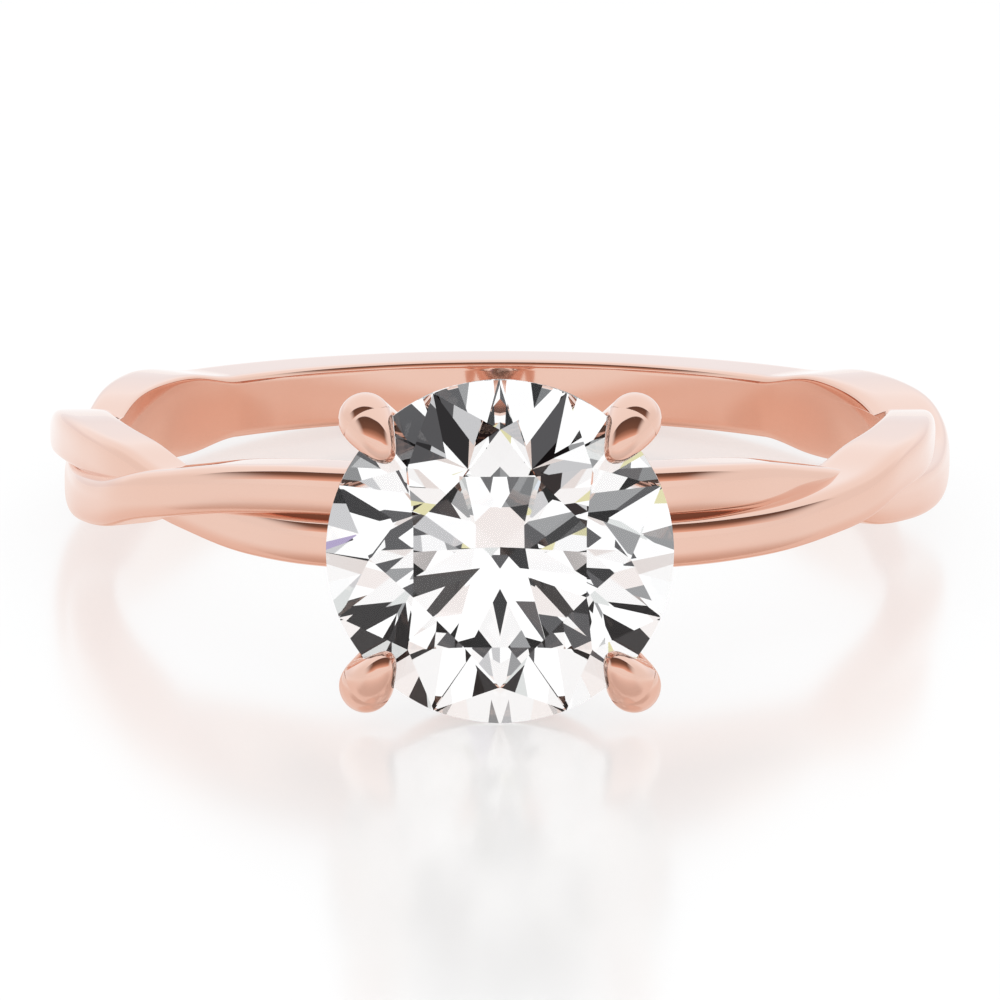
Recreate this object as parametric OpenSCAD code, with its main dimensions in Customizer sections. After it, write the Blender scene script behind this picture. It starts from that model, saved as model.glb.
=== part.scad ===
// Twisted shank ring with a round stone in a four-claw setting, lying on its side as it rests
// by itself: on the lowest point of the stone's girdle and on the outer edge of the back band.
// The ring is drawn upright in its own frame first, with the finger hole along Z and the head
// towards -Y, and is then tipped and lifted so that what it rests on lies at Z = 0.

/* [Finger hole and back band] */
// Diameter of the finger hole
hole_d = 17; // [14:0.1:22]
// Radial thickness of the plain back band
band_wall = 1.65; // [1.2:0.05:2.4]
// Height of the plain back band, along the finger
band_h = 1.42; // [1.1:0.02:2]
// Rounding of the back band's outer edges
band_edge = 0.15; // [0.05:0.01:0.3]
// Arc of the ring that is plain band, in degrees
band_arc = 88; // [50:2:130]

/* [Twisted strands] */
// Radial thickness of one strand where nothing of it is levelled for the finger
strand_wall = 1.6; // [1.3:0.05:2]
// Height of one strand, along the finger
strand_h = 1.04; // [0.8:0.02:1.4]
// How far the strands stand out from the finger hole's wall on average
strand_reach = 1.32; // [1:0.02:1.8]
// Share of a strand's height that lies between the strands' centres where they run side by side
strand_spread = 0.99; // [0.6:0.01:1]
// How far a strand's outer face swings outwards and inwards where it crosses the other
strand_swing = 0.35; // [0.15:0.01:0.5]
// Share of that swing that its inner face takes part in
inner_swing = 0.25; // [0.1:0.05:1]
// Squareness of a strand's top and bottom: 2 is an ellipse's, 10 nearly flat
strand_flat = 7; // [2:0.5:10]
// Squareness of a strand's inner and outer side: 2 is an ellipse's, 10 nearly flat
strand_round = 3; // [2:0.1:5]

/* [Stone] */
// Diameter of the stone at its girdle
stone_d = 7.1; // [5:0.1:8.5]
// Width of the table across its corners, as a share of the stone's diameter
table_share = 0.535; // [0.5:0.005:0.62]
// Angle between the crown's kites and the girdle plane
crown_angle = 35.5; // [32:0.5:37]
// Angle between the pavilion's main facets and the girdle plane
pavilion_angle = 40.8; // [39:0.2:43]
// Thickness of the girdle where it is widest
girdle_t = 0.18; // [0.14:0.01:0.3]
// Length of the star facets, as a share of the way from the table's edge to the girdle
star_share = 0.5; // [0.4:0.01:0.6]
// Length of the lower halves, as a share of the way from the girdle to the culet
lower_half_share = 0.77; // [0.7:0.01:0.85]

/* [Setting] */
// Thickness of a claw where it holds the girdle
claw_d = 1.08; // [0.8:0.02:1.3]
// How far a claw reaches in over the crown, from the stone's edge
claw_reach = 0.56; // [0.4:0.01:0.9]
// Thickness of a claw's tip
claw_tip_d = 0.62; // [0.3:0.02:0.7]
// How far a claw stands out past the stone's edge
claw_proud = 0.83; // [0.6:0.01:0.9]
// Thickness of the bars below the claws
bar_d = 0.86; // [0.6:0.02:1]
// Distance of the bars' feet from the head's axis
foot_r = 1.2; // [1:0.05:1.4]
// Thickness of the gallery wire that ties the four bars
gallery_d = 0.6; // [0.4:0.02:0.8]
// Gap between the stone and the metal that holds it
seat_gap = 0.03; // [0.02:0.005:0.06]
// Gap between the stone's culet and the strands below it
culet_gap = 0.12; // [0.08:0.01:1]

/* [Hidden] */
$fn = 96;

gold = "#e8b7a4";
clear_white = "#eef2f5";

hole_r = hole_d / 2;

// The twist, from the head to the end of the plain band on either side. arc is a share of half
// the twisted arc, turn a share of one whole turn of the pair of strands, spread, swing and
// reach are shares of strand_spread, strand_swing and strand_reach, and band tells how far the
// section has become the plain band's own.
TWIST = [
    // arc, turn, spread, swing, reach, band
    [0, 0, 1.08, 1, 1, 0],
    [0.176, 0.012, 1.06, 1, 1, 0],
    [0.245, 0.067, 1, 1, 1, 0],
    [0.323, 0.178, 1, 1, 1, 0],
    [0.377, 0.25, 1, 1, 1, 0],
    [0.44, 0.37, 1, 1, 0.98, 0],
    [0.509, 0.44, 1, 1, 0.94, 0],
    [0.572, 0.51, 1, 0.9, 0.9, 0],
    [0.665, 0.62, 1, 0.8, 0.9, 0],
    [0.743, 0.74, 0.95, 0.9, 0.96, 0],
    [0.812, 0.86, 0.85, 1, 1.05, 0.05],
    [0.88, 0.94, 0.76, 0.8, 1.16, 0.2],
    [0.929, 0.985, 0.52, 0.4, 1.24, 0.6],
    [1, 1, 0, 0, 1.25, 1],
];
TURN = 1;
SPREAD = 2;
SWING = 3;
REACH = 4;
BAND = 5;

// Half the twisted arc, and how far each strand's end runs on inside the plain band
twist_half = 180 - band_arc / 2;
twist_lap = 0.6;
// Rows of points along the twist, and points around each row
twist_rows = 105;
row_points = 32;
// What runs inside the band stays this much below its surface
skin = 0.02;
// Squareness of the twist's end, inside the band
band_square = 10;
// Halvings that find an outline's edge
edge_steps = 16;
// How far the rows' first points lead the twist towards the grooves, as a share of the swing
row_lead = 0.6;

// Radius of the strands' inner faces before they are levelled for the finger
inner_r = hole_r + strand_reach - strand_wall;
// They are levelled this far outside the inner layer, which gives the hole its true round wall
layer_proud = 0.01;
layer_wall = strand_reach * 0.3;
layer_h = strand_h * 0.9;

function mix(a, b, share) = a + (b - a) * share;

// Row of the table that a place along the twist follows
function row_at(arc, i = 0) = i >= len(TWIST) - 2 || arc < TWIST[i + 1][0] ? i : row_at(arc, i + 1);

// Slope of a column at a row, for a smooth curve through the rows
function slope(i, column) = i == 0 || i == len(TWIST) - 1 ? 0
    : (TWIST[i + 1][column] - TWIST[i - 1][column]) / (TWIST[i + 1][0] - TWIST[i - 1][0]);

// Value of a column at any place along the twist
function at(arc, column) =
    let (i = row_at(arc), span = TWIST[i + 1][0] - TWIST[i][0], t = (arc - TWIST[i][0]) / span)
    (2 * t^3 - 3 * t^2 + 1) * TWIST[i][column] + (t^3 - 2 * t^2 + t) * span * slope(i, column)
    + (3 * t^2 - 2 * t^3) * TWIST[i + 1][column] + (t^3 - t^2) * span * slope(i + 1, column);

// Distance from a section's middle to the outline of one strand, in the direction (u, v).
// A strand is its middle's place out and up, and its half width and half height; n is the
// squareness across and along the finger.
function strand_edge(u, v, strand, n, lo, hi, steps = edge_steps) =
    let (t = (lo + hi) / 2)
    steps == 0 ? t
    : abs((t * u - strand[0]) / strand[2])^n[0] + abs((t * v - strand[1]) / strand[3])^n[1] < 1
        ? strand_edge(u, v, strand, n, t, hi, steps - 1)
        : strand_edge(u, v, strand, n, lo, t, steps - 1);

// Unit direction from a section's middle for an angle measured with the section made square
function way(w, a, b) = [a * cos(w), b * sin(w)] / norm([a * cos(w), b * sin(w)]);

// One strand's section at a phase of the twist: its inner face swings less than its outer one
function strand_at(phase, swing, rise, reach, inner, b) =
    let (
        low = inner + swing * inner_swing * cos(phase),
        high = hole_r + reach + swing * cos(phase)
    )
    [(low + high) / 2, rise * sin(phase), (high - low) / 2, b];

// One row of points around both strands, at an angle from the head
function twist_row(angle) =
    let (
        arc = min(abs(angle) / twist_half, 1),
        phase = 90 + sign(angle) * 360 * at(arc, TURN),
        band = at(arc, BAND),
        reach = mix(strand_reach * at(arc, REACH), band_wall - skin, band),
        inner = inner_r + skin * band,
        b = mix(strand_h, band_h - 2 * skin, band) / 2,
        n = [mix(strand_flat, band_square, band), mix(strand_round, band_square, band)],
        swing = strand_swing * at(arc, SWING),
        rise = strand_spread * strand_h / 2 * at(arc, SPREAD),
        a = (hole_r + reach - inner) / 2,
        middle = inner + a,
        one = strand_at(phase, swing, rise, reach, inner, b) - [middle, 0, 0, 0],
        two = strand_at(phase + 180, swing, rise, reach, inner, b) - [middle, 0, 0, 0],
        first = 90 + atan2(sin(phase), row_lead * cos(phase))
    )
    [for (k = [0:row_points - 1])
        let (
            w = first + 360 * k / row_points,
            d = way(w, a, b),
            far = 3 * (a + b),
            edge = max(
                strand_edge(d[0], d[1], one, n, 0, far),
                strand_edge(d[0], d[1], two, n, 0, far)
            ),
            r = max(middle + edge * d[0], hole_r + layer_proud)
        )
        [r * sin(angle), -r * cos(angle), edge * d[1]]];

// The two strands, wound round each other from one end of the plain band to the other
module strands() {
    reach = twist_half + twist_lap;
    rows = [for (i = [0:twist_rows - 1]) twist_row(mix(-reach, reach, i / (twist_rows - 1)))];
    last = (twist_rows - 1) * row_points;
    ends = twist_rows * row_points;
    middle = hole_r + band_wall / 2;
    polyhedron(
        points = [
            for (row = rows) each row,
            for (side = [-1, 1]) [side * middle * sin(reach), -middle * cos(reach), 0],
        ],
        faces = [
            for (k = [0:row_points - 1])
                let (next = (k + 1) % row_points)
                each [[ends, next, k], [ends + 1, last + k, last + next]],
            for (i = [0:twist_rows - 2], k = [0:row_points - 1])
                let (next = (k + 1) % row_points, here = i * row_points)
                each [
                    [here + k, here + next, here + row_points + k],
                    [here + next, here + row_points + next, here + row_points + k],
                ],
        ]
    );
}

// Section of the plain band, with its outer edges rounded
module band_section() {
    r = band_edge;
    high = hole_r + band_wall;
    translate([hole_r, -band_h / 2]) square([band_wall - r, band_h]);
    translate([hole_r, r - band_h / 2]) square([band_wall, band_h - 2 * r]);
    for (side = [-1, 1]) translate([high - r, side * (band_h / 2 - r)]) circle(r);
}

module back_band() {
    rotate(90 - band_arc / 2) rotate_extrude(angle = band_arc) band_section();
}

// The stone, drawn with its table upwards and the middle of its girdle at Z = 0.
// Kites and main facets lie at odd multiples of 22.5 degrees, so the table has flat sides at
// the top, bottom, left and right.
stone_r = stone_d / 2;
girdle_half = girdle_t / 2;
table_r = stone_r * table_share;
crown_h = (stone_r - table_r) * tan(crown_angle);
pavilion_h = stone_r * tan(pavilion_angle);
facet_turn = 45;
half_turn = facet_turn / 2;
star_r = mix(table_r * cos(half_turn), stone_r, star_share);
star_z = girdle_half + (stone_r - star_r * cos(half_turn)) * tan(crown_angle);
lower_r = stone_r * (1 - lower_half_share);
lower_z = -girdle_half - (stone_r - lower_r * cos(half_turn)) * tan(pavilion_angle);
// Flat sides of the girdle between two edges of its facets
girdle_steps = 4;
girdle_points = 16 * girdle_steps;

function polar(r, angle, z) = [r * cos(angle), r * sin(angle), z];

// Height at which a half facet meets the girdle. The facet runs from its inner tip, at radius
// tip_r and height tip_z, to the girdle's edge at height edge_z on both its sides.
function half_facet_z(angle, tip_r, tip_z, edge_z) =
    let (
        turn = half_turn - abs(angle % facet_turn - half_turn),
        normal = cross(
            polar(stone_r, 0, edge_z) - polar(tip_r, 0, tip_z),
            polar(stone_r, half_turn, edge_z) - polar(tip_r, 0, tip_z)
        ),
        place = polar(stone_r, turn, 0)
    )
    tip_z + (normal * (polar(tip_r, 0, 0) - place)) / normal[2];

module brilliant() {
    girdle = [for (i = [0:girdle_points - 1]) 360 * i / girdle_points];
    table_0 = 0;
    star_0 = 8;
    top_0 = 16;
    bottom_0 = top_0 + girdle_points;
    lower_0 = bottom_0 + girdle_points;
    culet = lower_0 + 8;
    per_half = girdle_steps;
    function top(i) = top_0 + i % girdle_points;
    function bottom(i) = bottom_0 + i % girdle_points;
    polyhedron(
        points = [
            for (i = [0:7]) polar(table_r, (i + 0.5) * facet_turn, girdle_half + crown_h),
            for (i = [0:7]) polar(star_r, i * facet_turn, star_z),
            for (t = girdle) polar(stone_r, t, half_facet_z(t, star_r, star_z, girdle_half)),
            for (t = girdle) polar(stone_r, t, half_facet_z(t, lower_r, lower_z, -girdle_half)),
            for (i = [0:7]) polar(lower_r, i * facet_turn, lower_z),
            [0, 0, -girdle_half - pavilion_h],
        ],
        faces = [
            [for (i = [7:-1:0]) table_0 + i],
            for (i = [0:7])
                let (next = (i + 1) % 8, left = 2 * per_half * i, mid = left + per_half, right = mid + per_half)
                each [
                    [star_0 + next, table_0 + i, table_0 + next],
                    [star_0 + i, table_0 + i, star_0 + next, top(mid)],
                    [star_0 + i, for (k = [mid:-1:left]) top(k)],
                    [star_0 + next, for (k = [right:-1:mid]) top(k)],
                    [lower_0 + i, for (k = [left:mid]) bottom(k)],
                    [lower_0 + next, for (k = [mid:right]) bottom(k)],
                    [culet, lower_0 + i, bottom(mid), lower_0 + next],
                ],
            for (i = [0:girdle_points - 1]) [top(i), top(i + 1), bottom(i + 1), bottom(i)],
        ]
    );
}

// The stone's outline turned round its axis and grown by the seat's gap
module seat_cut() {
    g = seat_gap;
    rotate_extrude()
        polygon([
            [0, -girdle_half - pavilion_h - 2 * g],
            [lower_r + g, lower_z - g],
            [stone_r + g, -girdle_half - g],
            [stone_r + g, girdle_half + g],
            [star_r + g, star_z + g],
            [table_r + g, girdle_half + crown_h + g],
            [0, girdle_half + crown_h + g],
        ]);
}

// Distance of the girdle from the ring's middle: the culet clears the strands below it
girdle_y = hole_r + strand_reach + culet_gap + pavilion_h + girdle_half;
// Depth from the girdle's plane to where the bars' feet end, inside the strands
foot_depth = girdle_y - hole_r - strand_reach / 2;

// A claw from the girdle to its tip: out and up are shares of the way from the claw's middle at
// the girdle to its tip's middle, and thick is its thickness between claw_d and claw_tip_d.
CLAW = [
    // out, up, thick
    [0, 0, 0],
    [0.5, 0.58, 0.35],
    [1, 1, 1],
];
// A bar from its claw down to its foot: in is the share of the way in towards the foot, and
// down the share of the depth
BAR = [
    // in, down
    [0, 0],
    [0.3, 0.34],
    [0.63, 0.67],
    [1, 1],
];
gallery_row = 1;

claw_r = stone_r + claw_proud - claw_d / 2;
tip_r = stone_r - claw_reach + claw_tip_d / 2;
// The tip rests on the crown: its middle is half its thickness and the gap off the kites' slope
tip_lift = (claw_tip_d / 2 + seat_gap) / cos(crown_angle);
tip_z = girdle_half + (stone_r - tip_r) * tan(crown_angle) + tip_lift;

// Each cone stays this much thinner than the balls it joins
cone_inset = 0.01;

// A ball in a plane through the head's axis, and the cone that joins it to the one before
module link(from, to, from_d, to_d) {
    way = to - from;
    length = norm(way);
    slope = (from_d - to_d) / 2 / length;
    waist = sqrt(1 - slope^2);
    shift = slope * [from_d, to_d] / 2;
    translate([from[0], 0, from[1]]) rotate([0, atan2(way[0], way[1]), 0]) {
        translate([0, 0, shift[0]])
            cylinder(
                h = length + shift[1] - shift[0],
                d1 = from_d * waist - cone_inset,
                d2 = to_d * waist - cone_inset
            );
        translate([0, 0, length]) sphere(d = to_d);
    }
}

module claw() {
    places = [for (row = CLAW) [mix(claw_r, tip_r, row[0]), mix(0, tip_z, row[1])]];
    sizes = [for (row = CLAW) mix(claw_d, claw_tip_d, row[2])];
    translate([claw_r, 0, 0]) sphere(d = claw_d);
    for (i = [0:len(CLAW) - 2]) link(places[i], places[i + 1], sizes[i], sizes[i + 1]);
}

function bar_place(row) = [mix(claw_r, foot_r, row[0]), -foot_depth * row[1]];

module bar() {
    for (i = [0:len(BAR) - 2])
        link(bar_place(BAR[i]), bar_place(BAR[i + 1]), i == 0 ? claw_d : bar_d, bar_d);
}

module gallery() {
    place = bar_place(BAR[gallery_row]);
    translate([0, 0, place[1]]) rotate_extrude() translate([place[0], 0]) circle(d = gallery_d);
}

module setting() {
    difference() {
        union() {
            for (turn = [45:90:315]) rotate(turn) {
                claw();
                bar();
            }
            gallery();
        }
        seat_cut();
    }
}

// Puts what is drawn with the stone's table upwards in its place on the ring
module at_head() {
    translate([0, -girdle_y, 0]) rotate([90, 0, 0]) children();
}

// How the ring lies: the line under the girdle's inner edge and under the band's rounded edge
rest_y = hole_r + band_wall - band_edge;
rest_z = band_h / 2 - band_edge;
rest_run = rest_y + girdle_y - girdle_half;
rest_rise = stone_r - rest_z;
tilt = atan2(rest_rise, rest_run) - asin(band_edge / norm([rest_run, rest_rise]));
lift = rest_y * sin(tilt) + rest_z * cos(tilt) + band_edge;
// Its foremost and rearmost points, which centre it on Y = 0
table_y = girdle_y + girdle_half + crown_h;
front = table_y * cos(tilt) + table_r * cos(half_turn) * sin(tilt);
rear = rest_y * cos(tilt) + rest_z * sin(tilt) + band_edge;
slide = (front - rear) / 2;

module at_rest() {
    translate([0, slide, lift]) rotate([-tilt, 0, 0]) children();
}

// The plain band runs on as a thin layer inside the strands, which the finger touches
module inner_layer() {
    rotate_extrude() translate([hole_r, -layer_h / 2]) square([layer_wall, layer_h]);
}

module shank_and_setting() {
    color(gold) at_rest() {
        strands();
        back_band();
        inner_layer();
        at_head() setting();
    }
}

module centre_stone() {
    color(clear_white) at_rest() at_head() brilliant();
}

shank_and_setting();
centre_stone();
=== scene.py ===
import math

import bmesh
import bpy
from mathutils import Matrix, Vector


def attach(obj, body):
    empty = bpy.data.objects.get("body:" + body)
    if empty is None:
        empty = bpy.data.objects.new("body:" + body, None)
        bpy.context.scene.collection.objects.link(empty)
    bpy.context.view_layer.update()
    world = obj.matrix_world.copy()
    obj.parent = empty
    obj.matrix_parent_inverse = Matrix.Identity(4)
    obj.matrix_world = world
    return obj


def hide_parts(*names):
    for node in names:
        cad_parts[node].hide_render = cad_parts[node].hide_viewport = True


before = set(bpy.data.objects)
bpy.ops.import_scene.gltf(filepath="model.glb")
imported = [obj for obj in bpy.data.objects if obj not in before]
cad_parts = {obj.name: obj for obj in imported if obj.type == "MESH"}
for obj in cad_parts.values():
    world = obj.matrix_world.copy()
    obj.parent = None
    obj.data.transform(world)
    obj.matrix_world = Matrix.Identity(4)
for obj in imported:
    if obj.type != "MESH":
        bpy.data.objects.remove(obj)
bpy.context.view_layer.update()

print("frame loaded")

# Sizes that several pieces share, in millimetres and degrees
ring = {
    "holeRadius": 8.5,
    "bandWall": 1.65,
    "bandHeight": 1.42,
    "bandEdge": 0.15,
    "bandArc": 88,
    "strandReach": 1.32,
    "stoneDiameter": 7.1,
    "girdle": 0.18,
    "tableShare": 0.535,
    "crownAngle": 35.5,
    "pavilionAngle": 40.8,
    "starShare": 0.5,
    "lowerHalfShare": 0.77,
    "culetGap": 0.12,
    "seatGap": 0.03,
}

stoneRadius = ring["stoneDiameter"] / 2
girdleHalf = ring["girdle"] / 2
tableRadius = stoneRadius * ring["tableShare"]
crownSlope = math.tan(math.radians(ring["crownAngle"]))
pavilionSlope = math.tan(math.radians(ring["pavilionAngle"]))
crownHeight = (stoneRadius - tableRadius) * crownSlope
pavilionHeight = stoneRadius * pavilionSlope
girdleY = ring["holeRadius"] + ring["strandReach"] + ring["culetGap"] + pavilionHeight + girdleHalf
halfFacet = math.pi / 8
metresPerMm = 0.001
weldDistance = 0.0005  # Pieces are drawn in millimetres and settled in metres
crispAngle = math.radians(35)


# Where the ring lies: tipped on the girdle's lowest point and the back band's edge
def restMatrix():
    edge = ring["bandEdge"]
    restY = ring["holeRadius"] + ring["bandWall"] - edge
    restZ = ring["bandHeight"] / 2 - edge
    run, rise = restY + girdleY - girdleHalf, stoneRadius - restZ
    tilt = math.atan2(rise, run) - math.asin(edge / math.hypot(run, rise))
    lift = restY * math.sin(tilt) + restZ * math.cos(tilt) + edge
    tableFlat = tableRadius * math.cos(halfFacet)
    front = (girdleY + girdleHalf + crownHeight) * math.cos(tilt) + tableFlat * math.sin(tilt)
    rear = restY * math.cos(tilt) + restZ * math.sin(tilt) + edge
    place = Matrix.Translation((0, (front - rear) / 2, lift)) @ Matrix.Rotation(-tilt, 4, "X")
    return Matrix.Scale(metresPerMm, 4) @ place


atRest = restMatrix()
# The head is drawn with the stone's table upwards and the middle of its girdle at zero
atHead = atRest @ Matrix.Translation((0, -girdleY, 0)) @ Matrix.Rotation(math.pi / 2, 4, "X")


def mix(a, b, share):
    return a + (b - a) * share


# A new Geometry Nodes tree with its inputs named and their starting values set
def newTree(name, sizes):
    tree = bpy.data.node_groups.new(name, "GeometryNodeTree")
    tree.interface.new_socket("Geometry", in_out="INPUT", socket_type="NodeSocketGeometry")
    for label, value in sizes.items():
        kind = "NodeSocketInt" if isinstance(value, int) else "NodeSocketFloat"
        tree.interface.new_socket(label, in_out="INPUT", socket_type=kind).default_value = value
    tree.interface.new_socket("Material", in_out="INPUT", socket_type="NodeSocketMaterial")
    tree.interface.new_socket("Geometry", in_out="OUTPUT", socket_type="NodeSocketGeometry")
    return tree, tree.nodes.new("NodeGroupInput").outputs


# Adds a node, sets its properties, and feeds its sockets from a dictionary of values or links
def addNode(tree, kind, feeds=None, **settings):
    node = tree.nodes.new(kind)
    for key, value in settings.items():
        setattr(node, key, value)
    for label, value in (feeds or {}).items():
        socket = node.inputs[label]
        if isinstance(value, bpy.types.NodeSocket):
            tree.links.new(value, socket)
        else:
            socket.default_value = value
    return node


def calc(tree, operation, *values):
    return addNode(tree, "ShaderNodeMath", dict(enumerate(values)), operation=operation).outputs[0]


def readValue(tree, name):
    return addNode(
        tree, "GeometryNodeInputNamedAttribute", {"Name": name}, data_type="FLOAT"
    ).outputs["Attribute"]


def storeValue(tree, geometry, name, value):
    return addNode(
        tree,
        "GeometryNodeStoreNamedAttribute",
        {"Geometry": geometry, "Name": name, "Value": value},
        data_type="FLOAT",
        domain="POINT",
    ).outputs[0]


def circle(tree, sides, radius=1.0):
    return addNode(
        tree, "GeometryNodeCurvePrimitiveCircle", {"Resolution": sides, "Radius": radius}
    ).outputs[0]


# Sweeps a section along the path that comes in
def sweepPath(tree, sockets, section, **feeds):
    path = addNode(tree, "GeometryNodeMeshToCurve", {"Mesh": sockets["Geometry"]})
    return addNode(
        tree,
        "GeometryNodeCurveToMesh",
        {"Curve": path.outputs[0], "Profile Curve": section, "Fill Caps": True, **feeds},
    ).outputs[0]


# Lays a swept tube round the finger, each point at its own angle, radius and height
def layRound(tree, tube, radius, height):
    angle = readValue(tree, "angle")
    ahead = calc(tree, "MULTIPLY", calc(tree, "COSINE", angle), -1.0)
    place = addNode(
        tree,
        "ShaderNodeCombineXYZ",
        {
            "X": calc(tree, "MULTIPLY", radius, calc(tree, "SINE", angle)),
            "Y": calc(tree, "MULTIPLY", radius, ahead),
            "Z": height,
        },
    )
    return addNode(
        tree, "GeometryNodeSetPosition", {"Geometry": tube, "Position": place.outputs[0]}
    ).outputs[0]


# Copies of a shape turned round the head's axis in even steps
def turnCopies(tree, shape, count, first=0.0):
    spots = addNode(tree, "GeometryNodeMeshLine", {"Count": count, "Offset": (0, 0, 0)})
    index = tree.nodes.new("GeometryNodeInputIndex").outputs[0]
    turn = calc(tree, "MULTIPLY_ADD", index, calc(tree, "DIVIDE", 2 * math.pi, count), first)
    turned = addNode(tree, "ShaderNodeCombineXYZ", {"Z": turn})
    return addNode(
        tree,
        "GeometryNodeInstanceOnPoints",
        {"Points": spots.outputs[0], "Instance": shape, "Rotation": turned.outputs[0]},
    ).outputs[0]


# Ends a tree in Realize Instances and Set Material
def endTree(tree, sockets, geometry):
    real = addNode(tree, "GeometryNodeRealizeInstances", {"Geometry": geometry})
    finish = addNode(
        tree,
        "GeometryNodeSetMaterial",
        {"Geometry": real.outputs[0], "Material": sockets["Material"]},
    )
    target = tree.nodes.new("NodeGroupOutput")
    tree.links.new(finish.outputs[0], target.inputs["Geometry"])


def newObject(name, data):
    obj = bpy.data.objects.new(name, data)
    bpy.context.collection.objects.link(obj)
    return obj


# An object of points and edges, with one number of each kind at every point
def pathObject(name, points, values, loop=False):
    mesh = bpy.data.meshes.new(name)
    last = len(points) if loop else len(points) - 1
    mesh.from_pydata(points, [(i, (i + 1) % len(points)) for i in range(last)], [])
    for label, numbers in values.items():
        mesh.attributes.new(label, "FLOAT", "POINT").data.foreach_set("value", numbers)
    return newObject(name, mesh)


# Keeps what an object's modifier makes as its plain mesh
def keepResult(obj):
    graph = bpy.context.evaluated_depsgraph_get()
    made = bpy.data.meshes.new_from_object(obj.evaluated_get(graph))
    obj.modifiers.clear()
    drawn = obj.data
    obj.data = made
    bpy.data.meshes.remove(drawn)
    made.name = obj.name


# Runs a tree on an object, with its named inputs set before it is first evaluated
def runTree(obj, tree, sizes, material):
    modifier = obj.modifiers.new(tree.name, "NODES")
    modifier.node_group = tree
    for item in tree.interface.items_tree:
        if item.in_out == "INPUT" and item.name in sizes:
            modifier[item.identifier] = sizes[item.name]
        if item.in_out == "INPUT" and item.name == "Material":
            modifier[item.identifier] = material
    keepResult(obj)
    obj.data.materials.clear()
    obj.data.materials.append(material)
    obj.data.polygons.foreach_set("material_index", [0] * len(obj.data.polygons))


# Closes seams and turns faces outwards
def closeMesh(obj, smooth=True):
    work = bmesh.new()
    work.from_mesh(obj.data)
    bmesh.ops.remove_doubles(work, verts=work.verts, dist=weldDistance)
    bmesh.ops.recalc_face_normals(work, faces=work.faces)
    for face in work.faces:
        face.smooth = smooth
    work.to_mesh(obj.data)
    work.free()


# Puts a finished mesh in its place and tells whose part it is
def settle(obj, place, node, smooth=True):
    closeMesh(obj, smooth)
    if smooth:
        obj.data.set_sharp_from_angle(angle=crispAngle)
    obj.data.transform(place)
    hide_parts(node)
    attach(obj, "root")
    print(obj.name, len(obj.data.polygons), "faces")


def newMaterial(name, values):
    material = bpy.data.materials.new(name)
    material.use_nodes = True
    shader = material.node_tree.nodes["Principled BSDF"]
    for label, value in values.items():
        shader.inputs[label].default_value = value
    return material, material.node_tree, shader


# Noise by the object's own place, and a colour that it leads from one to another
def cloudColour(tree, place, scale, colours, ends=(0, 1)):
    noise = addNode(tree, "ShaderNodeTexNoise", {"Vector": place, "Scale": scale}).outputs["Fac"]
    ramp = addNode(tree, "ShaderNodeValToRGB", {"Fac": noise})
    for element, end, colour in zip(ramp.color_ramp.elements, ends, colours):
        element.position = end
        element.color = colour
    return noise, ramp.outputs["Color"]


def mixColours(tree, factor, first, second):
    feeds = {"Factor": factor, 6: first, 7: second}
    return addNode(tree, "ShaderNodeMix", feeds, data_type="RGBA").outputs[2]


# Finish of the polished gold, with a painted glow on it
goldLook = {
    "deep": (0.79, 0.505, 0.4, 1),
    "pale": (0.8, 0.535, 0.435, 1),
    "cloudScale": 260,
    "cloudEnds": (0.3, 0.7),
    "roughLow": 0.035,
    "roughHigh": 0.06,
    "polishScale": 900,
    "polishDepth": 0.0000006,  # In metres
    "coat": 0.8,
    "coatIor": 1.8,
    "coatRoughness": 0.03,
    # Painted glow: the gold gives off a faint orange light of its own, which warms its folds and
    # shadows
    "paintedGlowColour": (0.8, 0.36, 0.23, 1),
    "paintedGlowStrength": 0.06,
}


def goldMaterial():
    material, tree, shader = newMaterial(
        "polishedRoseGold",
        {
            "Metallic": 1,
            "Coat Weight": goldLook["coat"],
            "Coat IOR": goldLook["coatIor"],
            "Coat Roughness": goldLook["coatRoughness"],
            "Emission Color": goldLook["paintedGlowColour"],
            "Emission Strength": goldLook["paintedGlowStrength"],
        },
    )
    place = tree.nodes.new("ShaderNodeTexCoord").outputs["Object"]
    # Slight clouds in the alloy's colour and in how well it is polished
    ends = goldLook["cloudEnds"]
    tones = (goldLook["deep"], goldLook["pale"])
    clouds, colour = cloudColour(tree, place, goldLook["cloudScale"], tones, ends)
    tree.links.new(colour, shader.inputs["Base Color"])
    rough = addNode(
        tree,
        "ShaderNodeMapRange",
        {
            "Value": clouds,
            "From Min": ends[0],
            "From Max": ends[1],
            "To Min": goldLook["roughLow"],
            "To Max": goldLook["roughHigh"],
        },
    )
    tree.links.new(rough.outputs["Result"], shader.inputs["Roughness"])
    # The buffing wheel's faint unevenness
    polish = addNode(
        tree, "ShaderNodeTexNoise", {"Vector": place, "Scale": goldLook["polishScale"]}
    )
    bump = addNode(
        tree,
        "ShaderNodeBump",
        {"Height": polish.outputs["Fac"], "Distance": goldLook["polishDepth"], "Strength": 1.0},
    )
    tree.links.new(bump.outputs["Normal"], shader.inputs["Normal"])
    return material


# Finish of the cut stone
stoneLook = {
    "ior": 2.417,
    "glint": (0.2, 0.2, 0.2, 1),
    "clear": (1.0, 1.0, 1.0, 1),
    "faint": (0.985, 0.99, 1.0, 1),
    "cloudScale": 120,
}


def stoneMaterial():
    material, tree, shader = newMaterial(
        "clearBrilliant",
        {
            "Transmission Weight": 1,
            "IOR": stoneLook["ior"],
            "Roughness": 0,
            "Specular Tint": stoneLook["glint"],
        },
    )
    place = tree.nodes.new("ShaderNodeTexCoord").outputs["Object"]
    tones = (stoneLook["clear"], stoneLook["faint"])
    colour = cloudColour(tree, place, stoneLook["cloudScale"], tones)[1]
    tree.links.new(colour, shader.inputs["Base Color"])
    return material


gold = goldMaterial()
clear = stoneMaterial()
print("materials made")

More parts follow.
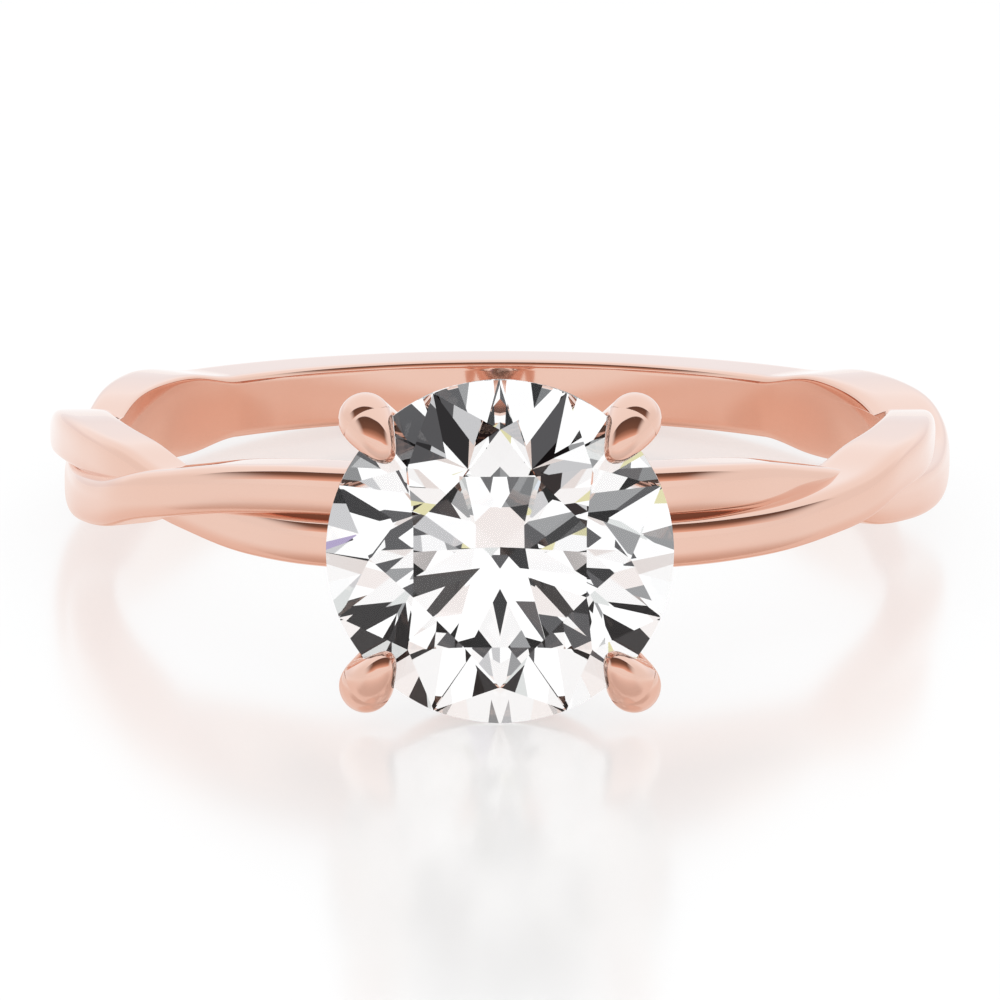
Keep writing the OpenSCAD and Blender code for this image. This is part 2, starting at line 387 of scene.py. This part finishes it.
# The pair of strands, in millimetres and degrees. One of them runs on round the back as the
# plain band, and the other's ends lap into it, a skin smaller.
strands = {
    "wall": 1.43,
    "height": 1.04,
    "spread": 0.99,
    "swing": 0.35,
    "innerSwing": 0.25,
    "topFlatness": 7,
    "sideFlatness": 3,
    "bandSquare": 12,
    "skin": 0.004,
    "lap": 4,
    "rim": 0.13,
    "bandRim": 0.01,
    "boreStep": 0.0015,
    "bandInset": 0.002,
    "rows": 440,
    "loopRows": 580,
    "around": 144,
}
# How both strands run from the head to the band. arc is a share of half the twisted arc, turn
# a share of one whole turn of the pair. spread, swing and reach are shares of their sizes, and
# band tells how far a section has become the band's own.
twistColumns = ("arc", "turn", "spread", "swing", "reach", "band")
twistTable = [
    (0, 0, 1.08, 1, 1, 0),
    (0.176, 0.012, 1.06, 1, 1, 0),
    (0.245, 0.067, 1, 1, 1, 0),
    (0.323, 0.178, 1, 1, 1, 0),
    (0.377, 0.25, 1, 1, 1, 0),
    (0.44, 0.37, 1, 1, 0.98, 0),
    (0.509, 0.44, 1, 1, 0.94, 0),
    (0.572, 0.51, 1, 0.9, 0.9, 0),
    (0.665, 0.62, 1, 0.8, 0.9, 0),
    (0.743, 0.74, 0.95, 0.9, 0.96, 0),
    (0.812, 0.86, 0.85, 1, 1.05, 0.05),
    (0.88, 0.94, 0.76, 0.8, 1.16, 0.2),
    (0.929, 0.985, 0.52, 0.4, 1.24, 0.6),
    (1, 1, 0, 0, 1.25, 1),
]


# Value of a column at any place along the twist, on a smooth curve through the rows
def twistAt(arc, column):
    c = twistColumns.index(column)
    last = len(twistTable) - 1

    def slope(i):
        if i in (0, last):
            return 0
        before, after = twistTable[i - 1], twistTable[i + 1]
        return (after[c] - before[c]) / (after[0] - before[0])

    i = 0
    while i < last - 1 and arc >= twistTable[i + 1][0]:
        i += 1
    low, high = twistTable[i], twistTable[i + 1]
    span = high[0] - low[0]
    t = (arc - low[0]) / span
    return (
        (2 * t**3 - 3 * t**2 + 1) * low[c]
        + (t**3 - 2 * t**2 + t) * span * slope(i)
        + (3 * t**2 - 2 * t**3) * high[c]
        + (t**3 - t**2) * span * slope(i + 1)
    )


# The path of one strand, with what its section is like at each point
def strandPath(name, lead, loop):
    twistHalf = 180 - ring["bandArc"] / 2
    reachAngle = 180 if loop else twistHalf + strands["lap"]
    rows = strands["loopRows"] if loop else strands["rows"]
    skin = 0 if loop else strands["skin"]
    strandInner = ring["holeRadius"] + ring["strandReach"] - strands["wall"]
    middle = ring["holeRadius"] + ring["strandReach"] / 2
    points = []
    labels = ("angle", "low", "high", "height", "thick", "outPower", "upPower", "rim")
    values = {label: [] for label in labels}
    for row in range(rows):
        angle = mix(-reachAngle, reachAngle, row / (rows if loop else rows - 1))
        arc = min(abs(angle) / twistHalf, 1)
        turn = 360 * twistAt(arc, "turn")
        phase = math.radians(90 + math.copysign(turn, angle) + lead)
        band = twistAt(arc, "band")
        reach = mix(ring["strandReach"] * twistAt(arc, "reach"), ring["bandWall"] - skin, band)
        inner = mix(strandInner, ring["holeRadius"] - strands["bandInset"], band)
        swing = strands["swing"] * twistAt(arc, "swing") * math.cos(phase)
        rise = strands["spread"] * strands["height"] / 2 * twistAt(arc, "spread")
        out = math.radians(angle)
        points.append((middle * math.sin(out), -middle * math.cos(out), 0))
        values["angle"].append(out)
        values["low"].append(inner + strands["innerSwing"] * swing)
        values["high"].append(ring["holeRadius"] + reach + swing)
        values["height"].append(rise * math.sin(phase))
        values["thick"].append(mix(strands["height"], ring["bandHeight"] - 2 * skin, band) / 2)
        values["outPower"].append(2 / mix(strands["topFlatness"], strands["bandSquare"], band))
        values["upPower"].append(2 / mix(strands["sideFlatness"], strands["bandSquare"], band))
        values["rim"].append(mix(strands["rim"], strands["bandRim"], band))
    return pathObject(name, points, values, loop)


# Sweeps a rounded section along a path: its outline is a squared ellipse, levelled at the bore
def strandTree():
    tree, sockets = newTree(
        "sweepStrand", {"Around": strands["around"], "Bore": ring["holeRadius"]}
    )
    share = tree.nodes.new("GeometryNodeSplineParameter").outputs["Factor"]
    turn = calc(tree, "MULTIPLY", share, 2 * math.pi)
    section = storeValue(tree, circle(tree, sockets["Around"]), "around", turn)
    tube = sweepPath(tree, sockets, section)
    around = readValue(tree, "around")
    low, high = readValue(tree, "low"), readValue(tree, "high")

    def squared(operation, power):
        part = calc(tree, operation, around)
        size = calc(tree, "POWER", calc(tree, "ABSOLUTE", part), readValue(tree, power))
        return calc(tree, "MULTIPLY", calc(tree, "SIGN", part), size)

    middle = calc(tree, "MULTIPLY", calc(tree, "ADD", low, high), 0.5)
    half = calc(tree, "MULTIPLY", calc(tree, "SUBTRACT", high, low), 0.5)
    out = calc(tree, "MULTIPLY_ADD", half, squared("COSINE", "outPower"), middle)
    level = calc(tree, "SMOOTH_MAX", out, sockets["Bore"], readValue(tree, "rim"))
    up = squared("SINE", "upPower")
    height = calc(tree, "MULTIPLY_ADD", readValue(tree, "thick"), up, readValue(tree, "height"))
    endTree(tree, sockets, layRound(tree, tube, level, height))
    return tree


sweepStrand = strandTree()
for strandName, lead, loop in (("bandAndStrandA", 0, True), ("twistedStrandB", 180, False)):
    strand = strandPath(strandName, lead, loop)
    strandSizes = {
        "Around": strands["around"],
        "Bore": ring["holeRadius"] + (0 if loop else strands["boreStep"]),
    }
    runTree(strand, sweepStrand, strandSizes, gold)
    settle(strand, atRest, "shank_and_setting")

# The thin layer inside the strands that makes the finger's hole round all the way. Its bore
# lies a hair inside theirs.
innerLayer = {"wall": 0.4, "height": 0.94, "rows": 680, "boreStep": -0.001}


def layerTree():
    tree, sockets = newTree(
        "sweepLayer",
        {"Wall": innerLayer["wall"], "Height": innerLayer["height"], "Bore": ring["holeRadius"]},
    )
    section = addNode(
        tree,
        "GeometryNodeCurvePrimitiveQuadrilateral",
        {"Width": sockets["Wall"], "Height": sockets["Height"]},
        mode="RECTANGLE",
    ).outputs[0]
    spot = tree.nodes.new("GeometryNodeInputPosition").outputs[0]
    corner = addNode(tree, "ShaderNodeSeparateXYZ", {"Vector": spot}).outputs
    section = storeValue(tree, section, "out", corner["X"])
    section = storeValue(tree, section, "up", corner["Y"])
    tube = sweepPath(tree, sockets, section)
    out = calc(tree, "MULTIPLY_ADD", sockets["Wall"], 0.5, readValue(tree, "out"))
    radius = calc(tree, "ADD", out, sockets["Bore"])
    endTree(tree, sockets, layRound(tree, tube, radius, readValue(tree, "up")))
    return tree


layerAngles = [2 * math.pi * row / innerLayer["rows"] for row in range(innerLayer["rows"])]
layerPoints = [
    (ring["holeRadius"] * math.sin(a), -ring["holeRadius"] * math.cos(a), 0) for a in layerAngles
]
layer = pathObject("innerLayer", layerPoints, {"angle": layerAngles}, loop=True)
layerSizes = {
    "Wall": innerLayer["wall"] - innerLayer["boreStep"],
    "Height": innerLayer["height"],
    "Bore": ring["holeRadius"] + innerLayer["boreStep"],
}
runTree(layer, layerTree(), layerSizes, gold)
settle(layer, atRest, "shank_and_setting")

# The four prongs: each is a bar from its foot up to the girdle, and a claw on over the crown.
# bar rows are shares of the way down and in to the foot; claw rows of the way from the girdle
# in to the claw's end and up to its height.
prongs = {
    "clawThick": 1.08,
    "clawReach": 0.62,
    "clawHeight": 0.72,
    "clawProud": 0.83,
    "barThick": 0.86,
    "footRadius": 1.2,
    "claw": [(0.06, 0.34), (0.3, 0.74), (0.62, 0.96), (1, 1)],
    "clawLean": 11,
    "closeFrom": 0.22,
    "closePower": 1.2,
    "tipShare": 0.001,
    "bar": [(1, 1), (0.63, 0.67), (0.3, 0.34)],
    "around": 64,
    "stepsBetween": 14,
    "seatSides": 160,
}
footDepth = girdleY - ring["holeRadius"] - ring["strandReach"] / 2
clawRadius = stoneRadius + prongs["clawProud"] - prongs["clawThick"] / 2
clawEnd = stoneRadius - prongs["clawReach"]


# Smooth curve through points of any size
def smoothPath(points, steps):
    ends = [points[0] * 2 - points[1]] + points + [points[-1] * 2 - points[-2]]
    made = []
    for i in range(1, len(ends) - 2):
        a, b, c, d = ends[i - 1 : i + 3]
        for step in range(steps):
            t = step / steps
            squarePart = (a * 2 - b * 5 + c * 4 - d) * t**2
            cubePart = (b * 3 - a - c * 3 + d) * t**3
            made.append((b * 2 + (c - a) * t + squarePart + cubePart) / 2)
    return made + [points[-1]]


def prongPath(name, side):
    rows = []
    for inward, down in prongs["bar"]:
        radius = mix(clawRadius, prongs["footRadius"], inward)
        rows.append((radius, -footDepth * down, prongs["barThick"]))
    rows.append((clawRadius, 0, prongs["clawThick"]))
    for inward, up in prongs["claw"]:
        radius = mix(clawRadius, clawEnd, inward)
        rows.append((radius, prongs["clawHeight"] * up, prongs["clawThick"]))
    course = smoothPath([Vector(row) for row in rows], prongs["stepsBetween"])
    radii = [p[2] / 2 for p in course]
    # Past the girdle the claw leans to one side
    lean = math.radians(prongs["clawLean"]) * side
    first = prongs["stepsBetween"] * len(prongs["bar"])
    points = []
    for i, p in enumerate(course):
        inward = clawRadius - p[0] if i > first else 0
        aside = inward * math.sin(lean)
        points.append(Vector((p[0] + inward * (1 - math.cos(lean)), aside, p[1])))
    # The claw closes in like the end of an egg
    runs = [0]
    for a, b in zip(points[first:], points[first + 1 :]):
        runs.append(runs[-1] + (b - a).length)
    for i, run in enumerate(runs):
        t = max(run / runs[-1] - prongs["closeFrom"], 0) / (1 - prongs["closeFrom"])
        radii[first + i] *= max(math.sqrt(1 - t ** prongs["closePower"]), prongs["tipShare"])
    return pathObject(name, points, {"thickness": radii})


# Sweeps a round section of changing thickness and sets copies round the head
def prongTree():
    tree, sockets = newTree("sweepProngs", {"Around": prongs["around"], "Count": 2, "First": 0.0})
    section = circle(tree, sockets["Around"])
    tube = sweepPath(tree, sockets, section, Scale=readValue(tree, "thickness"))
    endTree(tree, sockets, turnCopies(tree, tube, sockets["Count"], sockets["First"]))
    return tree


# The stone's outline turned round its axis and grown by the seat's gap, which the claws clear
def seatShape():
    gap = ring["seatGap"]
    lowerRadius = stoneRadius * (1 - ring["lowerHalfShare"])
    outline = [
        (lowerRadius + gap, -girdleHalf - (stoneRadius - lowerRadius) * pavilionSlope - gap),
        (stoneRadius + gap, -girdleHalf - gap),
        (stoneRadius + gap, girdleHalf + gap),
        (tableRadius + gap, girdleHalf + crownHeight + gap),
    ]
    work = bmesh.new()
    sides = prongs["seatSides"]
    turns = [2 * math.pi * k / sides for k in range(sides)]
    loops = [
        [work.verts.new((r * math.cos(a), r * math.sin(a), z)) for a in turns]
        for r, z in outline
    ]
    for lower, upper in zip(loops, loops[1:]):
        for k in range(sides):
            n = (k + 1) % sides
            work.faces.new((lower[k], lower[n], upper[n], upper[k]))
    work.faces.new(reversed(loops[0]))
    work.faces.new(loops[-1])
    mesh = bpy.data.meshes.new("seatCut")
    work.to_mesh(mesh)
    work.free()
    return newObject("seatCut", mesh)


def cutSeat(obj):
    closeMesh(obj)
    cutter = seatShape()
    modifier = obj.modifiers.new("seat", "BOOLEAN")
    modifier.operation = "DIFFERENCE"
    modifier.solver = "MANIFOLD"
    modifier.object = cutter
    keepResult(obj)
    bpy.data.objects.remove(cutter)


sweepProngs = prongTree()
for prongName, firstTurn, side in (
    ("prongPairA", math.pi / 4, -1),
    ("prongPairB", 3 * math.pi / 4, 1),
):
    prong = prongPath(prongName, side)
    prongSizes = {"Around": prongs["around"], "Count": 2, "First": firstTurn}
    runTree(prong, sweepProngs, prongSizes, gold)
    cutSeat(prong)
    settle(prong, atHead, "shank_and_setting")

# The gallery wire: one ring that ties the four bars below the stone, at one row of their course
galleryWire = {"thick": 0.6, "barRow": 2, "around": 160, "sides": 32}
galleryIn, galleryDown = prongs["bar"][galleryWire["barRow"]]
gallerySizes = {
    "Radius": mix(clawRadius, prongs["footRadius"], galleryIn),
    "Thickness": galleryWire["thick"] / 2,
    "Depth": -footDepth * galleryDown,
    "Around": galleryWire["around"],
}


def galleryTree():
    tree, sockets = newTree("sweepGallery", gallerySizes)
    loop = circle(tree, sockets["Around"], sockets["Radius"])
    section = circle(tree, galleryWire["sides"], sockets["Thickness"])
    tube = addNode(tree, "GeometryNodeCurveToMesh", {"Curve": loop, "Profile Curve": section})
    down = addNode(tree, "ShaderNodeCombineXYZ", {"Z": sockets["Depth"]})
    lowered = addNode(
        tree, "GeometryNodeSetPosition", {"Geometry": tube.outputs[0], "Offset": down.outputs[0]}
    )
    endTree(tree, sockets, lowered.outputs[0])
    return tree


gallery = pathObject("galleryWire", [(0, 0, 0), (0, 0, 1)], {})  # Only carries the tree
runTree(gallery, galleryTree(), gallerySizes, gold)
settle(gallery, atHead, "shank_and_setting")

# The round brilliant: one eighth of it is drawn facet by facet, and eight make the stone
brilliant = {"girdleSteps": 8, "sectors": 8}


def polar(radius, angle, height):
    return Vector((radius * math.cos(angle), radius * math.sin(angle), height))


# Height at which a half facet meets the girdle, whose edge it cuts in a curve
def halfFacetHeight(angle, tipR, tipZ, edgeZ):
    turn = halfFacet - abs(angle % (2 * halfFacet) - halfFacet)
    tip = polar(tipR, 0, tipZ)
    along = polar(stoneRadius, 0, edgeZ) - tip
    across = polar(stoneRadius, halfFacet, edgeZ) - tip
    normal = along.cross(across)
    place = polar(stoneRadius, turn, 0)
    return tipZ + normal.dot(polar(tipR, 0, 0) - place) / normal.z


def stoneSector():
    steps = brilliant["girdleSteps"]
    facetTurn = 2 * halfFacet
    starR = mix(tableRadius * math.cos(halfFacet), stoneRadius, ring["starShare"])
    starZ = girdleHalf + (stoneRadius - starR * math.cos(halfFacet)) * crownSlope
    lowerR = stoneRadius * (1 - ring["lowerHalfShare"])
    lowerZ = -girdleHalf - (stoneRadius - lowerR * math.cos(halfFacet)) * pavilionSlope
    tableZ = girdleHalf + crownHeight
    angles = [facetTurn * k / (2 * steps) for k in range(2 * steps + 1)]
    points = {
        "centre": Vector((0, 0, tableZ)),
        "table0": polar(tableRadius, halfFacet, tableZ),
        "table1": polar(tableRadius, halfFacet + facetTurn, tableZ),
        "star0": polar(starR, 0, starZ),
        "star1": polar(starR, facetTurn, starZ),
        "lower0": polar(lowerR, 0, lowerZ),
        "lower1": polar(lowerR, facetTurn, lowerZ),
        "culet": Vector((0, 0, -girdleHalf - pavilionHeight)),
    }
    for k, a in enumerate(angles):
        upper = halfFacetHeight(a, starR, starZ, girdleHalf)
        lower = halfFacetHeight(a, lowerR, lowerZ, -girdleHalf)
        points[f"top{k}"] = polar(stoneRadius, a, upper)
        points[f"bottom{k}"] = polar(stoneRadius, a, lower)
    faces = [
        ("centre", "table0", "table1"),
        ("star1", "table1", "table0"),
        ("star0", f"top{steps}", "star1", "table0"),
        ("star0", *(f"top{k}" for k in range(steps + 1))),
        ("star1", *(f"top{k}" for k in range(steps, 2 * steps + 1))),
        ("lower0", *(f"bottom{k}" for k in range(steps, -1, -1))),
        ("lower1", *(f"bottom{k}" for k in range(2 * steps, steps - 1, -1))),
        ("culet", "lower1", f"bottom{steps}", "lower0"),
    ]
    for k in range(2 * steps):
        faces.append((f"top{k}", f"bottom{k}", f"bottom{k + 1}", f"top{k + 1}"))
    names = list(points)
    mesh = bpy.data.meshes.new("roundBrilliant")
    mesh.from_pydata(list(points.values()), [], [[names.index(n) for n in face] for face in faces])
    return newObject("roundBrilliant", mesh)


def stoneTree():
    tree, sockets = newTree("turnSectors", {"Count": brilliant["sectors"]})
    endTree(tree, sockets, turnCopies(tree, sockets["Geometry"], sockets["Count"]))
    return tree


stone = stoneSector()
runTree(stone, stoneTree(), {"Count": brilliant["sectors"]}, clear)
settle(stone, atHead, "centre_stone", smooth=False)

# The floor, in metres. It is white to the eye and a little glossy, and near the ring the polished
# gold sees a painted warm shade in it.
floorLook = {
    "size": 3.0,
    "colour": (0.2, 0.195, 0.19, 1),
    "warm": (0.21, 0.2, 0.195, 1),
    "glow": (0.86, 0.86, 0.86, 1),
    "cloudScale": 3.0,
    "shadeInner": 0.007,
    "shadeOuter": 0.018,
    "paintedShadeColour": (0.72, 0.46, 0.35, 1),
    "polish": 0.3,
    "roughness": 0.18,
}


def floorMaterial():
    material, tree, matt = newMaterial(
        "paleFloor", {"Roughness": 1, "Specular IOR Level": 0, "Emission Strength": 1}
    )
    place = tree.nodes.new("ShaderNodeTexCoord").outputs["Object"]
    tones = (floorLook["colour"], floorLook["warm"])
    colour = cloudColour(tree, place, floorLook["cloudScale"], tones)[1]
    tree.links.new(colour, matt.inputs["Base Color"])
    # Painted shade: near the ring, glossy rays see the floor's glow darkened to a warm brown,
    # standing in for the shadow under the ring
    away = addNode(tree, "ShaderNodeVectorMath", {0: place}, operation="LENGTH").outputs["Value"]
    near = addNode(
        tree,
        "ShaderNodeMapRange",
        {"Value": away, "From Min": floorLook["shadeInner"], "From Max": floorLook["shadeOuter"]},
        interpolation_type="SMOOTHSTEP",
    ).outputs["Result"]
    rays = tree.nodes.new("ShaderNodeLightPath")
    shade = mixColours(tree, near, floorLook["paintedShadeColour"], floorLook["glow"])
    glow = mixColours(tree, rays.outputs["Is Glossy Ray"], floorLook["glow"], shade)
    tree.links.new(glow, matt.inputs["Emission Color"])
    polish = addNode(tree, "ShaderNodeBsdfGlossy", {"Roughness": floorLook["roughness"]})
    both = addNode(
        tree,
        "ShaderNodeMixShader",
        {"Fac": floorLook["polish"], 1: matt.outputs["BSDF"], 2: polish.outputs[0]},
    )
    tree.links.new(both.outputs[0], tree.nodes["Material Output"].inputs["Surface"])
    return material


def buildFloor():
    half = floorLook["size"] / 2
    corners = [(-half, -half, 0), (half, -half, 0), (half, half, 0), (-half, half, 0)]
    mesh = bpy.data.meshes.new("floor")
    mesh.from_pydata(corners, [], [(0, 1, 2, 3)])
    mesh.materials.append(floorMaterial())
    obj = newObject("floor", mesh)


buildFloor()

# The sky, the only light beside the floor's glow. Its stops run from the horizon behind the
# camera (0) over the zenith (0.5) to the horizon ahead (1).
skyLook = {
    "sideColour": (0.95, 0.95, 0.95, 1),
    "sideFrom": 0.7,
    "sideTo": 0.95,
    "stops": [
        (0, (1.0, 1.0, 1.0)),
        (0.095, (1.0, 1.0, 1.0)),
        (0.1, (0.95, 0.62, 0.5)),
        (0.19, (0.45, 0.25, 0.18)),
        (0.27, (0.16, 0.085, 0.06)),
        (0.39, (0.1, 0.055, 0.04)),
        (0.44, (0.08, 0.045, 0.035)),
        (0.445, (1.02, 1.06, 1.08)),
        (0.9, (1.05, 1.1, 1.13)),
        (0.97, (0.93, 0.93, 0.95)),
        (1, (0.93, 0.93, 0.95)),
    ],
    "evenLight": 1.12,
    "sparkScale": 3.6,
    "sparkSeed": 7.3,
    "sparks": [
        (0, (0.004, 0.004, 0.005)),
        (0.11, (0.03, 0.03, 0.032)),
        (0.19, (0.1, 0.1, 0.105)),
        (0.27, (0.2, 0.205, 0.21)),
        (0.35, (0.34, 0.345, 0.35)),
        (0.43, (0.62, 0.62, 0.63)),
        (0.5, (0.8, 0.76, 0.45)),
        (0.512, (0.5, 0.42, 0.66)),
        (0.524, (0.66, 0.76, 0.97)),
        (0.536, (1.1, 1.1, 1.1)),
        (0.72, (0.78, 0.8, 0.79)),
        (0.8, (1.1, 1.1, 1.1)),
    ],
}


# Gives a colour ramp its stops, each a place and a colour
def fillRamp(node, stops):
    elements = node.color_ramp.elements
    elements.remove(elements[1])
    elements[0].position = stops[0][0]
    elements[0].color = (*stops[0][1], 1)
    for place, colour in stops[1:]:
        elements.new(place).color = (*colour, 1)


def buildSky():
    world = bpy.data.worlds.new("studioSky")
    bpy.context.scene.world = world
    world.use_nodes = True
    tree = world.node_tree
    around = tree.nodes.new("ShaderNodeTexCoord").outputs["Generated"]
    way = addNode(tree, "ShaderNodeSeparateXYZ", {"Vector": around})
    back = calc(tree, "MULTIPLY", way.outputs["Y"], -1.0)
    arc = calc(tree, "ARCTAN2", way.outputs["Z"], back)
    sky = addNode(tree, "ShaderNodeValToRGB", {"Fac": calc(tree, "DIVIDE", arc, math.pi)})
    fillRamp(sky, skyLook["stops"])
    side = addNode(
        tree,
        "ShaderNodeMapRange",
        {
            "Value": calc(tree, "ABSOLUTE", way.outputs["X"]),
            "From Min": skyLook["sideFrom"],
            "From Max": skyLook["sideTo"],
        },
        interpolation_type="SMOOTHSTEP",
    ).outputs["Result"]
    whole = mixColours(tree, side, sky.outputs["Color"], skyLook["sideColour"])
    # The stone sees a room of bright and dark panels
    panels = addNode(
        tree,
        "ShaderNodeTexVoronoi",
        {"Vector": around, "W": skyLook["sparkSeed"], "Scale": skyLook["sparkScale"]},
        voronoi_dimensions="4D",
    )
    tone = addNode(tree, "ShaderNodeSeparateColor", {"Color": panels.outputs["Color"]})
    sparks = addNode(tree, "ShaderNodeValToRGB", {"Fac": tone.outputs[0]})
    fillRamp(sparks, skyLook["sparks"])
    sparks.color_ramp.interpolation = "CONSTANT"
    rays = tree.nodes.new("ShaderNodeLightPath").outputs
    seen = mixColours(tree, rays["Is Transmission Ray"], whole, sparks.outputs["Color"])
    # Matt surfaces are lit evenly from all round
    even = (*[skyLook["evenLight"]] * 3, 1)
    light = mixColours(tree, rays["Is Diffuse Ray"], seen, even)
    tree.links.new(light, tree.nodes["Background"].inputs["Color"])
    world.cycles.sampling_method = "NONE"


buildSky()

# The camera stands in the ring's own frame, a little above the ring's plane. Its lengths are
# in millimetres, but nearest, where its sight begins, is in metres.
view = {
    "distance": 180,
    "elevation": 9.5,
    "aimDrop": 1.108,
    "lens": 294.84,
    "sensor": 36,
    "nearest": 0.01,
}


def buildCamera():
    rise = math.radians(view["elevation"])
    ahead = Vector((0, math.cos(rise), -math.sin(rise)))
    up = Vector((0, math.sin(rise), math.cos(rise)))
    spot = -ahead * view["distance"] - up * view["aimDrop"]
    data = bpy.data.cameras.new("camera")
    data.lens = view["lens"]
    data.sensor_width = view["sensor"]
    data.clip_start = view["nearest"]
    camera = newObject("camera", data)
    turn = Matrix.Identity(4)
    for column, axis in enumerate((Vector((1, 0, 0)), up, -ahead)):
        turn.col[column].xyz = axis
    turned = atRest.to_3x3().normalized() @ turn.to_3x3()
    camera.matrix_world = Matrix.Translation(atRest @ spot) @ turned.to_4x4()
    bpy.context.scene.camera = camera


buildCamera()
bpy.context.scene.view_settings.view_transform = "Standard"
print("studio made")
